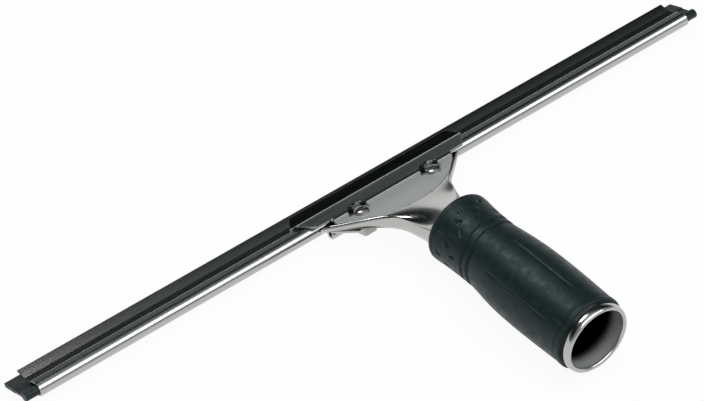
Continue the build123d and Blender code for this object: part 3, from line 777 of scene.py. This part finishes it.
def bodyMarks(x, ahead, up):
    # inside the rolled rim the bore is satin, with painted shade further in; along the edge of the seat is a
    # painted shadow line
    s = bodySizes
    y, z = (toRow(x, ahead, up)[:, k] for k in (1, 2))
    wallR = np.interp(y, [0.0, s["land"], s["tubeEnd"]], [s["mouthR"], s["mouthR"], s["neckR"] - s["wall"]])
    inside = smoothStep((wallR + s["boreSkin"] - np.hypot(x, z)) / s["boreSoft"]) * (y < s["tubeEnd"])
    # painted shade: further into the bore the colour is darkened, where shade falls inside the hollow
    deep = smoothStep((y - s["darkFrom"]) / s["darkRun"])
    places = np.array_split(np.stack([x, ahead])[:, None], s["markChunks"], axis=2)
    edge = np.concatenate([insideSeat(s, *part) for part in places], axis=1)[0]
    # painted shadow: a dark line along the gap at the seat's edge
    seamShadow = smoothStep((edge + s["seamShadowHalf"]) / s["seamShadowSoft"])
    seamShadow = seamShadow * smoothStep((s["seamShadowHalf"] - edge) / s["seamShadowSoft"])
    satin = s["satinShare"] * inside * smoothStep((y - s["satinFrom"]) / s["satinRun"]) * (1 - deep)
    return dict(satin=satin, paintedShade=np.maximum(inside * deep, seamShadow * (up > s["seamShadowFloor"])))


markPiece(bodyPiece, bodyMarks)

# clamp plate: half-moon heel, step with a bay for each screw, raised band, V fold and front lip
plateSizes = dict(
    sheet=1.2, edge=0.28, press=0.55, pressSteps=7,
    seat=1.0, heelGap=0.45, heelStart=-40.0, heelFront=-7.2, heelTail=2, heelRows=40, heelTip=0.05,
    stepY=-6.2, stepGap=1.2, stepSoft=0.4, stepRows=16, earBack=-5.85, earStep=0.2, earRows=6,
    bandUnder=3.2, bandFront=3.35, bandRound=5.0, bandStep=0.6, fold=5.4, foldUnder=1.75,
    lipUnder=3.504, lipOver=0.3, lipRows=5, half=46.6, slant=7.4, chamfer=4.0,
    screwX=19.4, screwY=-10.1, bayR=4.5, bayWall=1.1, bayLimit=2,
    cols=200, edgeCols=4, tipShare=0.4, rowGap=0.02,
    # from headBack on: the painted shade on the step's head and foot, in the bays and on the lip, then the
    # painted highlight along the fold
    headBack=0.65, footBack=1.15, lineSoft=0.15, stepMark=0.5, stepMarkSoft=0.3, bayMark=0.9, bayMarkLap=0.3,
    bayMarkSoft=0.4, bayMarkFrom=0.5, bayMarkRun=1.5, lipMark=0.45, lipMarkFrom=0.2, lipMarkSoft=0.4,
    foldHighlightShare=0.9, foldHighlightFrom=0.6, foldHighlightRun=0.5, foldHighlightTo=0.1, foldHighlightSoft=0.4)


def plateProfile(s, raised):
    # level of the sheet's under or upper face along the plate, with pressed bends
    under = [(s["heelStart"], s["seat"]), (s["heelFront"], s["seat"]), (s["stepY"], s["bandUnder"]),
             (s["bandFront"], s["bandUnder"]), (s["fold"], s["foldUnder"]), (lipFront, s["lipUnder"])]
    face = offsetPath(under, s["sheet"] * raised)
    face[-1] += (face[-1] - face[-2]) * s["lipOver"]
    bends = [s["press"], s["press"], s["bandRound"] if raised else s["press"], s["press"]]
    return roundedPath(face, bends, steps=s["pressSteps"])


def plateHalf(s, ahead):
    # half width of the plate's outline: the heel's curve, a narrow step, slanted ears and a chamfered lip
    heel = seatEdge(bodySizes, s["heelGap"])
    order = np.argsort(heel[:, 1])
    heelX = np.interp(ahead, heel[order, 1], heel[order, 0])
    stepX = np.interp(s["stepY"], heel[order, 1], heel[order, 0]) - (s["stepGap"] - s["heelGap"])
    ears = np.interp(ahead, [s["stepY"], s["earBack"], s["fold"], lipFront],
                     [stepX, s["half"] - s["slant"] + s["earStep"], s["half"], s["half"] - s["chamfer"]])
    step = heelX - (s["stepGap"] - s["heelGap"]) * smoothStep((ahead - s["heelFront"]) / s["stepSoft"] + 1)
    return np.where(ahead < s["stepY"], step, ears)


def plateShell(s):
    # each row across the plate is a ring of its upper and under face, with rounded sides
    upper, under = plateProfile(s, 1.0), plateProfile(s, 0.0)
    back = bodySizes["heelBack"] + s["heelGap"]
    heelEnd = s["heelFront"] - s["heelTail"]
    curl = 1 - np.cos(np.linspace(s["heelTip"], pi / 2, s["heelRows"]))
    rows = np.concatenate([back + (heelEnd - back) * curl, upper[:, 0], under[:, 0],
                           np.linspace(heelEnd, s["stepY"], s["stepRows"]),
                           np.linspace(s["stepY"], s["earBack"], s["earRows"]),
                           np.arange(s["earBack"], lipFront, s["bandStep"]),
                           lipFront - s["edge"] * np.linspace(0, 1, s["lipRows"]) ** 2])
    rows = np.unique(np.round(rows[(rows >= back) & (rows <= lipFront)], 3))
    rows = rows[np.concatenate([[True], np.diff(rows) > s["rowGap"]])][:, None]
    half = plateHalf(s, rows)
    turn = np.linspace(0, pi / 2, s["edgeCols"])[None]
    r = np.minimum(s["edge"], half * s["tipShare"])
    share = np.linspace(-1, 1, s["cols"])[None]
    flatX = share * (half - r)
    x = np.concatenate([-half + r - r * np.sin(turn[:, :0:-1]), flatX, half - r + r * np.sin(turn[:, 1:])], 1)
    drop = np.concatenate([r * (1 - np.cos(turn[:, :0:-1])), 0 * flatX, r * (1 - np.cos(turn[:, 1:]))], 1)
    # the front edge is rounded as the sides are
    ahead = np.clip((rows - lipFront + s["edge"]) / s["edge"], 0, 1)
    drop = np.maximum(drop, s["edge"] * (1 - np.sqrt(1 - ahead ** 2)))
    # bays: the raised part sinks to the heel's level round each screw head
    off = np.hypot(np.abs(x) - s["screwX"], rows - s["screwY"])
    bay = smoothStep((off - s["bayR"]) / s["bayWall"])
    low, high = s["seat"], s["seat"] + s["sheet"]
    topZ = np.interp(rows, upper[:, 0], upper[:, 1])
    lowZ = np.interp(rows, under[:, 0], under[:, 1])
    behind = rows < s["bandFront"] - s["bayLimit"]
    topZ = np.where(behind, high + (topZ - high) * bay, topZ) - drop
    lowZ = np.where(behind, low + (lowZ - low) * bay, lowZ) + drop
    return ringShell(np.concatenate([toRow(x, rows, topZ), toRow(x, rows, lowZ)[:, ::-1]], 1), True)


platePiece = makePiece("clampPlate", [plateShell(plateSizes)], "clampSteel", "clamp", "clamp_plate")


def plateMarks(x, ahead, up):
    # satin on the heel, the step's foot and the fold, where it is a painted highlight; painted shade on the
    # step's head, the screws' bays and the lip
    s = plateSizes
    head, foot = s["stepY"] - s["headBack"], s["stepY"] - s["footBack"]
    satin = smoothStep((foot - ahead) / s["lineSoft"])
    line = smoothStep((ahead - foot) / s["lineSoft"]) * smoothStep((head - ahead) / s["lineSoft"])
    inStep = smoothStep((ahead - s["heelFront"] + s["sheet"]) / s["stepMarkSoft"]) * satin
    off = np.hypot(np.abs(x) - s["screwX"], ahead - s["screwY"])
    bay = smoothStep((s["bayR"] + s["bayWall"] + s["bayMarkLap"] - off) / s["bayMarkSoft"])
    bay = bay * smoothStep((ahead - s["screwY"] - s["bayMarkFrom"]) / s["bayMarkRun"])
    lip = smoothStep((ahead - s["fold"] - s["lipMarkFrom"]) / s["lipMarkSoft"])
    # painted highlight: a paler satin line along the fold, where its bend would catch the light
    paintedFoldHighlight = smoothStep((ahead - s["bandFront"] - s["foldHighlightFrom"]) / s["foldHighlightRun"])
    paintedFoldHighlight = paintedFoldHighlight * smoothStep((s["fold"] + s["foldHighlightTo"] - ahead) / s["foldHighlightSoft"])
    # painted shade: the step's head line, the step's foot, the screws' bays and the lip are darkened
    dark = [line, s["stepMark"] * inStep, s["bayMark"] * bay, s["lipMark"] * lip]
    return dict(satin=np.maximum(satin, s["foldHighlightShare"] * paintedFoldHighlight), paintedShade=np.maximum.reduce(dark))


markPiece(platePiece, plateMarks)

# lower jaw: flat sheet under the dish whose front edge is rolled into an open tube
jawSizes = dict(sheet=1.2, under=-3.2, back=-14.0, rollAt=-0.3, rollR=2.35, rollTurn=290.0, rollSteps=56,
                rollLead=0.3, flatStep=1.0, half=31.7, backHalf=24.5, edge=0.25)


def jawShell(s):
    # middle of the sheet: straight from the back, then most of a turn round the roll
    radius, middle = s["rollR"] - s["sheet"] / 2, s["under"] - s["rollR"]
    turn = pi / 2 - np.linspace(0, radians(s["rollTurn"]), s["rollSteps"])
    roll = np.stack([s["rollAt"] + radius * np.cos(turn), middle + radius * np.sin(turn)], -1)
    level = s["under"] - s["sheet"] / 2
    flat = np.array([(s["back"] + s["sheet"] / 2, level), (s["rollAt"] - s["rollLead"], level)])
    mid = np.concatenate([dense(flat, s["flatStep"]), roll])[::-1]

    def endX(along):
        # sides widen evenly from the back edge to the roll
        wide = np.interp(along, [s["back"], s["rollAt"] - s["rollR"]], [s["backHalf"], s["half"]])
        return -wide, wide

    return stripShell(mid, s["sheet"] / 2, endX, s["edge"])


makePiece("lowerJaw", [jawShell(jawSizes)], "jawSteel", "handle", "lower_jaw")

# slotted screws with a rolled thread, and square nuts
screwSizes = dict(
    x=19.4, y=-10.1, turns=dict(left=20.0, right=-35.0), headR=3.4, seat=2.2, headH=1.9, dome=0.75, domePower=4,
    headRows=45, headCols=41, slotW=0.95, slotD=1.0, slotInner=0.94, slotOuter=1.06, slotSoft=0.06,
    shankR=2.0, tip=-8.6, pitch=0.7, threadD=0.32, threadTop=-2.0, tipDrop=0.35, tipRun=0.5, headLap=0.2,
    shankRows=150, shankCols=40)
nutSizes = dict(half=3.2, boreR=2.06, top=-4.4, height=3.2, edge=0.35, corner=1.32, cols=96)
screwSides = dict(left=-1, right=1)


def screwHead(s):
    # chord grid of the head: a flattened dome less the slot, over a flat underside
    walls = np.array([-s["slotOuter"], -s["slotInner"], s["slotInner"], s["slotOuter"]])
    even = np.sin(np.linspace(-pi / 2, pi / 2, s["headRows"]))
    p = np.sort(np.concatenate([s["headR"] * even, s["slotW"] / 2 * walls]))[:, None]
    chord = np.sin(np.linspace(-pi / 2, pi / 2, s["headCols"]))[None]
    q = np.sqrt(np.clip(s["headR"] ** 2 - p ** 2, 0, None)) * chord
    crest = s["seat"] + s["headH"]
    top = crest - s["dome"] * (np.hypot(p, q) / s["headR"]) ** s["domePower"]
    slot = 1 - smoothStep((np.abs(p) - s["slotInner"] / 2 * s["slotW"]) / (s["slotSoft"] * s["slotW"]))
    top = top + (np.minimum(top, crest - s["slotD"]) - top) * slot
    across = p + 0 * q
    over = np.stack([q, across, top], -1)
    beneath = np.stack([q, across, s["seat"] + 0 * q], -1)[:, ::-1]
    return np.concatenate([over, beneath], 1)


def screwShank(s):
    # turned shank whose radius dips by a triangle wave of height less turn: a helical thread
    z = np.concatenate([[s["tip"]], np.linspace(s["tip"], s["seat"] + s["headLap"], s["shankRows"])])[:, None]
    turn = np.linspace(0, 2 * pi, s["shankCols"], endpoint=False)[None]
    phase = (z / s["pitch"] - turn / (2 * pi)) % 1
    cut = s["threadD"] * np.abs(2 * phase - 1) * smoothStep((s["threadTop"] - z) / s["pitch"])
    lead = s["tipDrop"] * smoothStep((s["tip"] + s["tipRun"] - z) / s["tipRun"])
    radius = s["shankR"] - cut - lead
    radius[[0, -1]] = 0
    return np.stack([radius * np.cos(turn), radius * np.sin(turn), z + 0 * turn], -1)


def nutRings(s):
    # rings round the bore: half over the larger of sine and cosine is a square, its corners and edges broken
    turn = np.linspace(0, 2 * pi, s["cols"], endpoint=False)[None]
    square = s["half"] / np.maximum(np.abs(np.cos(turn)), np.abs(np.sin(turn)))
    square = np.minimum(square, s["half"] * s["corner"])
    top, low, e = s["top"], s["top"] - s["height"], s["edge"]
    bore = s["boreR"] + 0 * turn
    loop = [(bore + e, top), (square - e, top), (square, top - e), (square, low + e), (square - e, low),
            (bore + e, low), (bore, low + e), (bore, top - e), (bore + e, top)]
    return np.stack([np.stack([r * np.cos(turn), r * np.sin(turn), z + 0 * turn], -1)[0] for r, z in loop])


def onScrew(local, side, spin):
    # local shape turned about its own axis and set on the screw's line
    c, s = cos(radians(spin)), sin(radians(spin))
    x = local[..., 0] * c - local[..., 1] * s + screwSides[side] * screwSizes["x"]
    y = local[..., 0] * s + local[..., 1] * c + screwSizes["y"]
    return toRow(x, y, local[..., 2])


for side in screwSides:
    spin = screwSizes["turns"][side]
    head = ringShell(onScrew(screwHead(screwSizes), side, spin), False)
    shank = ringShell(onScrew(screwShank(screwSizes), side, spin), False)
    makePiece(f"{side}ClampScrew", [head, shank], "screwSteel", f"{side}_screw", f"screw_{side}")
    nut = ringShell(onScrew(nutRings(nutSizes), side, 0), False)
    makePiece(f"{side}SquareNut", [nut], "nutSteel", "handle", f"nut_{side}", sharp=30.0)
